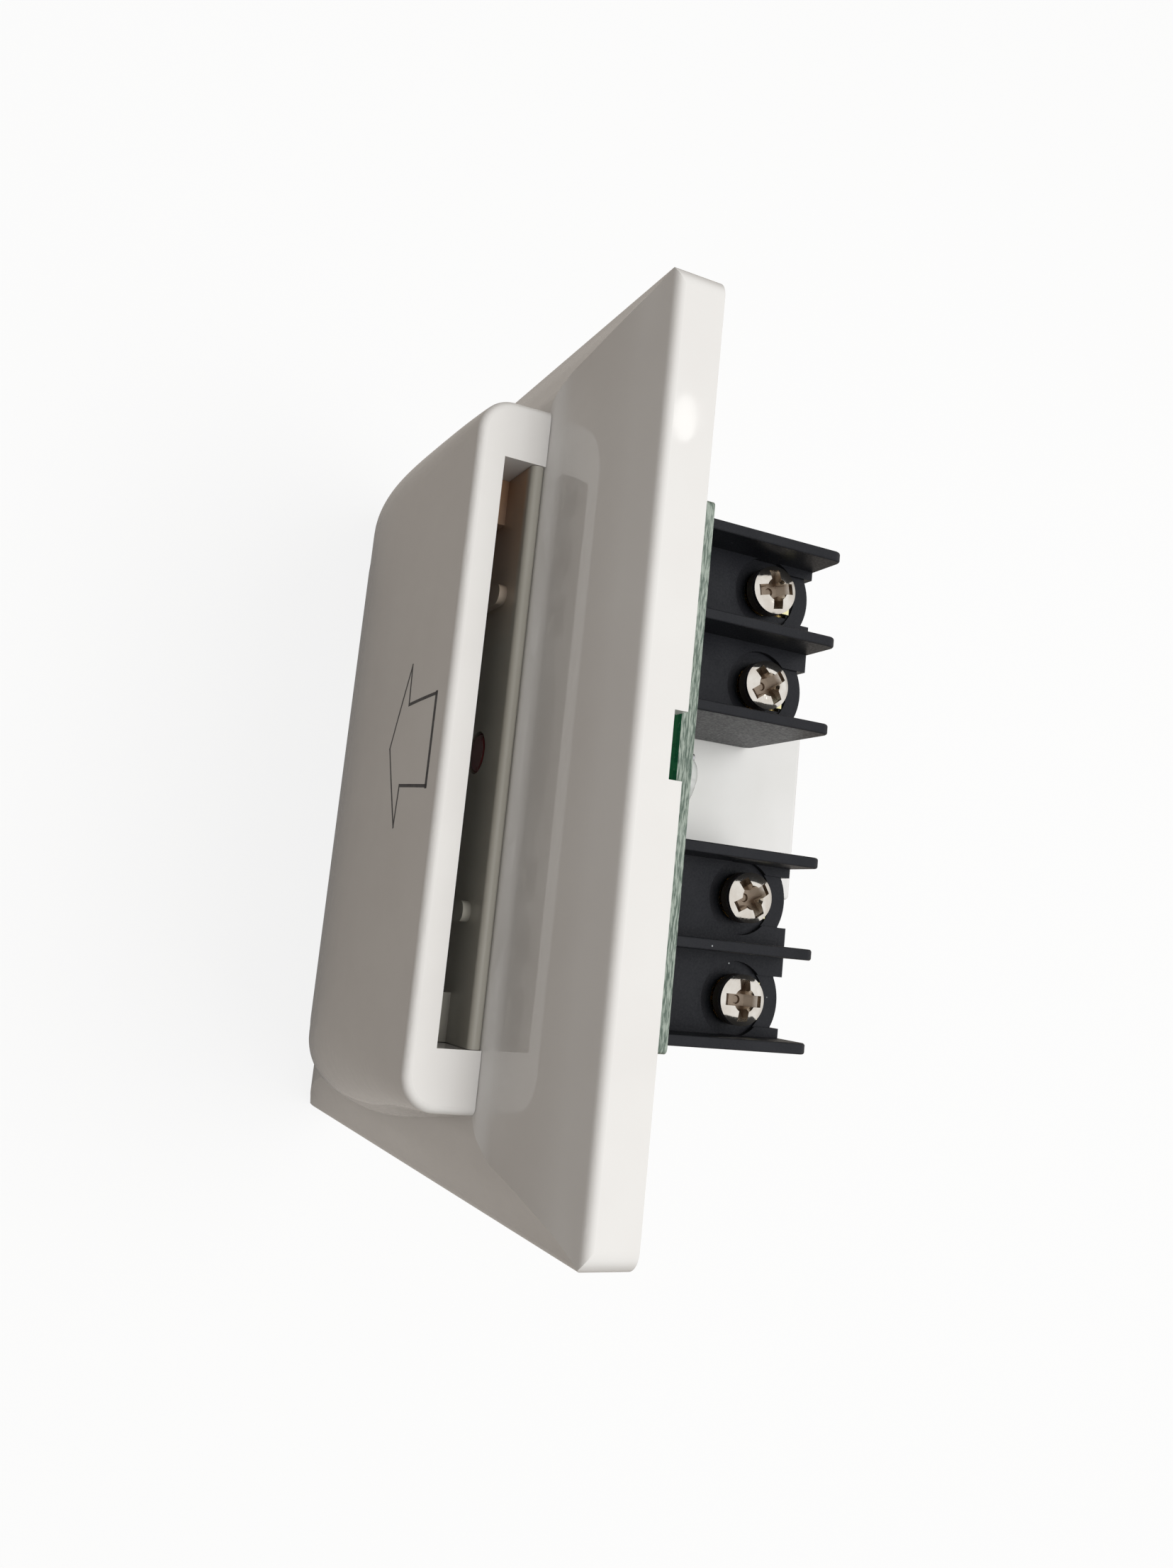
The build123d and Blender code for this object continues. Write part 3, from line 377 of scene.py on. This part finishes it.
# Mounting frame: the carrier that is screwed to the wall box through its two slots. It is moulded
# in white ABS, matt from a plain mould, with four posts for the board.
frame_white = finish(
    "frame_white", dark=(0.66, 0.65, 0.62), light=(0.72, 0.71, 0.68), patch=8,
    rough=(0.32, 0.46), grain=0.5, depth=0.012
)
dress(frame_white, "mounting_frame")

# Circuit board: 1.6 mm glass fibre laminate, routed to size. Its faces have a green solder mask
# over etched tracks, and its cut edge shows the pale green glass layers.
mask_over_copper = (0.034, 0.255, 0.105, 1)
resin_colour, glass_colour = (0.065, 0.10, 0.075, 1), (0.30, 0.35, 0.30, 1)
resin_level, glass_level = 0.40, 0.60
layer_scale, layer_detail, layer_press = 900.0, 5.0, 7.5
edge_tilt = 0.5
track_pattern = {
    "Scale": 130.0, "Mortar Size": 0.055, "Mortar Smooth": 0.15, "Brick Width": 2.3, "Row Height": 0.34,
    "Color1": (0, 0, 0, 1), "Color2": (0, 0, 0, 1), "Mortar": (1, 1, 1, 1),
}

board_green = finish(
    "board_green", dark=(0.011, 0.165, 0.068), light=(0.017, 0.20, 0.086), patch=9,
    rough=(0.18, 0.30), grain=0.6, depth=0.006, coat=0.3
)
tree = board_green.node_tree
place = add_node(tree, "ShaderNodeTexCoord")
where = place.outputs["Object"]
laid_flat = add_node(tree, "ShaderNodeMapping", {"Vector": where, "Rotation": (math.radians(90), 0, 0)})
tracks = add_node(tree, "ShaderNodeTexBrick", {"Vector": laid_flat.outputs[0], **track_pattern})
recolour(board_green, tracks.outputs["Color"], mask_over_copper)
pressed = add_node(tree, "ShaderNodeMapping", {"Vector": where, "Scale": (1.0, layer_press, 1.0)})
layered = {"Vector": pressed.outputs[0], "Scale": layer_scale, "Detail": layer_detail}
layers = add_node(tree, "ShaderNodeTexNoise", layered).outputs["Fac"]
cut_glass = add_ramp(tree, layers, (resin_level, resin_colour), (glass_level, glass_colour))
facing = add_node(tree, "ShaderNodeSeparateXYZ", {0: place.outputs["Normal"]})
on_edge = add_math(tree, "LESS_THAN", add_math(tree, "ABSOLUTE", facing.outputs["Y"]), edge_tilt)
recolour(board_green, on_edge, cut_glass)
dress(board_green, "circuit_board")

# Board screws: zinc-plated steel, cold headed with rolled threads. They hold the board and are
# turned into the frame's four posts.
screw_steel = finish(
    "screw_steel", dark=(0.42, 0.42, 0.44), light=(0.58, 0.58, 0.60), patch=1.5,
    rough=(0.22, 0.40), grain=0.3, depth=0.004, metallic=1.0
)
dress(screw_steel, "board_screws")

# Solder joints: tin alloy on the pins that come through the board. It was drawn up each pin while
# molten, and froze with a slightly frosted skin.
solder = finish(
    "solder", dark=(0.52, 0.52, 0.53), light=(0.68, 0.68, 0.68), patch=1.0,
    rough=(0.15, 0.35), grain=0.4, depth=0.01, metallic=1.0
)
dress(solder, "solder_joints")

# Glue dab: a blob of milky hot-melt glue over the two solder dots at the board's top edge. It was
# squeezed on by hand, so it is lumpy, flat underneath and higher at one end.
lump_depth, lump_scale, lump_start = 0.07, 1.3, Vector((3.1, 0.4, 1.7))
higher_share = 0.18
blob_height_share, blob_foot_share = 2.6, 0.02
weld_distance = 0.004

dab_low, dab_high = (Vector(corner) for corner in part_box("glue_dab"))
dab_size = (dab_high - dab_low) / 2
dab_foot = Vector(((dab_low.x + dab_high.x) / 2, dab_low.y, (dab_low.z + dab_high.z) / 2))
shape = bmesh.new()
bmesh.ops.create_icosphere(shape, subdivisions=5, radius=1.0)
for vert in shape.verts:
    swell = 1.0 + lump_depth * noise.noise(vert.co * lump_scale + lump_start)
    rise = blob_height_share * (1.0 - higher_share * vert.co.x)
    flattened = Vector((vert.co.x, max(vert.co.y, -blob_foot_share) * rise, vert.co.z))
    vert.co = dab_foot + flattened * dab_size * swell
bmesh.ops.remove_doubles(shape, verts=shape.verts, dist=weld_distance * millimetre)
glue_mesh = bpy.data.meshes.new("glue_blob")
shape.to_mesh(glue_mesh)
shape.free()
for face in glue_mesh.polygons:
    face.use_smooth = True
glue_blob = bpy.data.objects.new("glue_blob", glue_mesh)
bpy.context.scene.collection.objects.link(glue_blob)
glue = finish(
    "glue", dark=(0.70, 0.71, 0.69), light=(0.80, 0.81, 0.79), patch=1.5,
    rough=(0.05, 0.12), grain=0.9, depth=0.006, glass=0.45
)
glue_mesh.materials.append(glue)
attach(glue_blob, "base")
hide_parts("glue_dab")

# Terminal blocks: two black nylon mouldings with three tall fins each, held to the board by their
# contacts' soldered pins. Their fine grain is spark eroded in the mould, and holds a little dust.
nylon_shine = 0.28
speck_core_share = 0.35


def scatter(material, spacing, spot, colour, along=(1, 1, 1)):
    """Specks on a finish: about one in each cube of this spacing, the size of a spot, all in mm."""
    tree = material.node_tree
    place = add_node(tree, "ShaderNodeTexCoord")
    drawn = {"Vector": place.outputs["Object"], "Scale": along}
    where = add_node(tree, "ShaderNodeMapping", drawn).outputs[0]
    specks = add_node(tree, "ShaderNodeTexVoronoi", {"Vector": where, "Scale": 1 / (spacing * millimetre)})
    spot_share = spot / spacing
    core = speck_core_share * spot_share
    speck = add_range(tree, specks.outputs["Distance"], core, spot_share, low=1.0, high=0.0)
    recolour(material, speck, (*colour, 1))


terminal_black = finish(
    "terminal_black", dark=(0.0065, 0.007, 0.0095), light=(0.0115, 0.012, 0.015), patch=4,
    rough=(0.32, 0.54), grain=0.24, depth=0.020
)
terminal_black.node_tree.nodes["Principled BSDF"].inputs["Specular IOR Level"].default_value = nylon_shine
scatter(terminal_black, spacing=3.1, spot=0.11, colour=(0.35, 0.37, 0.38))
scatter(terminal_black, spacing=9.0, spot=0.16, colour=(0.07, 0.07, 0.075), along=(0.25, 1, 1))
dress(terminal_black, "terminal_block_left", "terminal_block_right")

# Terminal contacts and clamp plates: stamped from brass strip and left bright. A contact bar lies
# under each clamp plate, and the screw presses the plate down on the wire between them.
contact_brass = finish(
    "contact_brass", dark=(0.55, 0.40, 0.15), light=(0.68, 0.52, 0.22), patch=2.5,
    rough=(0.20, 0.36), grain=0.35, depth=0.004, metallic=1.0, stretch=(1, 4, 1)
)
dress(contact_brass, "terminal_contacts")
clamp_brass = finish(
    "clamp_brass", dark=(0.86, 0.78, 0.42), light=(0.93, 0.87, 0.52), patch=2.0,
    rough=(0.18, 0.30), grain=0.3, depth=0.003, metallic=1.0
)
dress(clamp_brass, *(f"clamp_plate_{number}" for number in range(1, 5)))

# Terminal screws: nickel-plated steel, cold headed with a domed pan head and a wide cross recess.
# Down in the recess the colour is painted darker and browner as painted shade, and the recess is made
# duller.
recess_shade_top, recess_shade_bottom = 0.75, 1.15
painted_recess_shade_colour = (0.34, 0.27, 0.21, 1)
recess_roughness = 0.30

screw_nickel = finish(
    "screw_nickel", dark=(0.66, 0.60, 0.53), light=(0.80, 0.76, 0.70), patch=1.4,
    rough=(0.06, 0.16), grain=0.25, depth=0.002, metallic=1.0
)
tree = screw_nickel.node_tree
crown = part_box("terminal_screw_1")[1][2]
place = add_node(tree, "ShaderNodeTexCoord")
height = add_node(tree, "ShaderNodeSeparateXYZ", {0: place.outputs["Object"]}).outputs["Z"]
shade_bottom, shade_top = (crown - depth * millimetre for depth in (recess_shade_bottom, recess_shade_top))
# Painted shade: below the crown the recess is painted darker and browner, and the same mask raises its
# roughness.
painted_recess_shade = add_range(tree, height, shade_bottom, shade_top, low=1.0, high=0.0)
recolour(screw_nickel, painted_recess_shade, painted_recess_shade_colour)
roughness = tree.nodes["Principled BSDF"].inputs["Roughness"]
dull = add_math(tree, "MULTIPLY_ADD", painted_recess_shade, recess_roughness, roughness.links[0].from_socket)
tree.links.new(dull, roughness)
dress(screw_nickel, *(f"terminal_screw_{number}" for number in range(1, 5)))

# Relay case: a satin white plastic cap, moulded thin and glued over the relay's base. A little dust
# lies in its sink marks.
relay_white = finish(
    "relay_white", dark=(0.71, 0.705, 0.69), light=(0.75, 0.745, 0.735), patch=7,
    rough=(0.16, 0.26), grain=1.2, depth=0.003
)
scatter(relay_white, spacing=4.5, spot=0.22, colour=(0.42, 0.42, 0.41), along=(1, 0.5, 1))
dress(relay_white, "relay_case")

# Relay, inside its case: tinned copper pins in a black base, enamelled wire wound on a black
# bobbin, an annealed iron core, yoke and armature, and stamped bronze springs with the contacts.
relay_black = finish(
    "relay_black", dark=(0.014, 0.014, 0.015), light=(0.024, 0.024, 0.026), patch=3,
    rough=(0.4, 0.6), grain=0.3, depth=0.01
)
dress(relay_black, "relay_base", "relay_bobbin")
pin_copper = finish(
    "pin_copper", dark=(0.55, 0.40, 0.30), light=(0.70, 0.55, 0.42), patch=1.5,
    rough=(0.2, 0.35), grain=0.3, depth=0.003, metallic=1.0
)
dress(pin_copper, "relay_pins")
coil_copper = finish(
    "coil_copper", dark=(0.42, 0.15, 0.06), light=(0.62, 0.26, 0.11), patch=0.5,
    rough=(0.25, 0.45), grain=0.16, depth=0.03, metallic=1.0, stretch=(0.25, 4, 0.25)
)
dress(coil_copper, "relay_winding")
relay_iron = finish(
    "relay_iron", dark=(0.34, 0.34, 0.35), light=(0.46, 0.46, 0.47), patch=2.0,
    rough=(0.25, 0.42), grain=0.3, depth=0.005, metallic=1.0
)
dress(relay_iron, "relay_core", "relay_yoke", "relay_armature")
spring_bronze = finish(
    "spring_bronze", dark=(0.52, 0.34, 0.17), light=(0.66, 0.46, 0.26), patch=2.0,
    rough=(0.2, 0.36), grain=0.3, depth=0.003, metallic=1.0
)
dress(spring_bronze, "moving_contact", "fixed_contact", "armature_spring")

# Sensor pair, its holder, the lamp and the other semiconductors, soldered to the board's front.
# The black ones are moulded with a matt skin, and the lenses are cast in clear or tinted epoxy.
chip_black = finish(
    "chip_black", dark=(0.016, 0.016, 0.018), light=(0.028, 0.028, 0.030), patch=2.0,
    rough=(0.42, 0.60), grain=0.2, depth=0.008
)
dress(chip_black, "sensor_body", "control_chip", "driver_transistor", "rectifier_diodes")
emitter_clear = finish(
    "emitter_clear", dark=(0.30, 0.42, 0.60), light=(0.40, 0.52, 0.70), patch=1.5,
    rough=(0.05, 0.12), grain=0.8, depth=0.002, glass=0.6
)
dress(emitter_clear, "ir_emitter")
receiver_dark = finish(
    "receiver_dark", dark=(0.015, 0.012, 0.018), light=(0.03, 0.022, 0.035), patch=1.5,
    rough=(0.06, 0.14), grain=0.8, depth=0.002
)
dress(receiver_dark, "ir_receiver")
lamp_blue = finish(
    "lamp_blue", dark=(0.35, 0.45, 0.75), light=(0.45, 0.55, 0.85), patch=1.5,
    rough=(0.08, 0.18), grain=0.8, depth=0.002, glass=0.5
)
dress(lamp_blue, "indicator_lamp")

# Mains dropper and smoothing parts, soldered to the board's front: a film capacitor in a yellow
# box, an aluminium can in a dark sleeve, lacquered resistors, a ceramic fuse and a dipped varistor.
film_yellow = finish(
    "film_yellow", dark=(0.60, 0.40, 0.06), light=(0.70, 0.48, 0.09), patch=4,
    rough=(0.28, 0.42), grain=0.5, depth=0.006
)
dress(film_yellow, "film_capacitor")
can_sleeve = finish(
    "can_sleeve", dark=(0.012, 0.016, 0.045), light=(0.020, 0.026, 0.065), patch=3,
    rough=(0.22, 0.36), grain=0.6, depth=0.004
)
dress(can_sleeve, "smoothing_capacitor")
resistor_body = finish(
    "resistor_body", dark=(0.42, 0.50, 0.52), light=(0.50, 0.58, 0.60), patch=2,
    rough=(0.30, 0.45), grain=0.4, depth=0.006
)
dress(resistor_body, "resistors")
fuse_body = finish(
    "fuse_body", dark=(0.62, 0.61, 0.56), light=(0.74, 0.73, 0.68), patch=2,
    rough=(0.18, 0.32), grain=0.5, depth=0.004
)
dress(fuse_body, "fuse")
varistor_blue = finish(
    "varistor_blue", dark=(0.02, 0.07, 0.30), light=(0.03, 0.10, 0.38), patch=2,
    rough=(0.25, 0.4), grain=0.5, depth=0.008
)
dress(varistor_blue, "varistor")
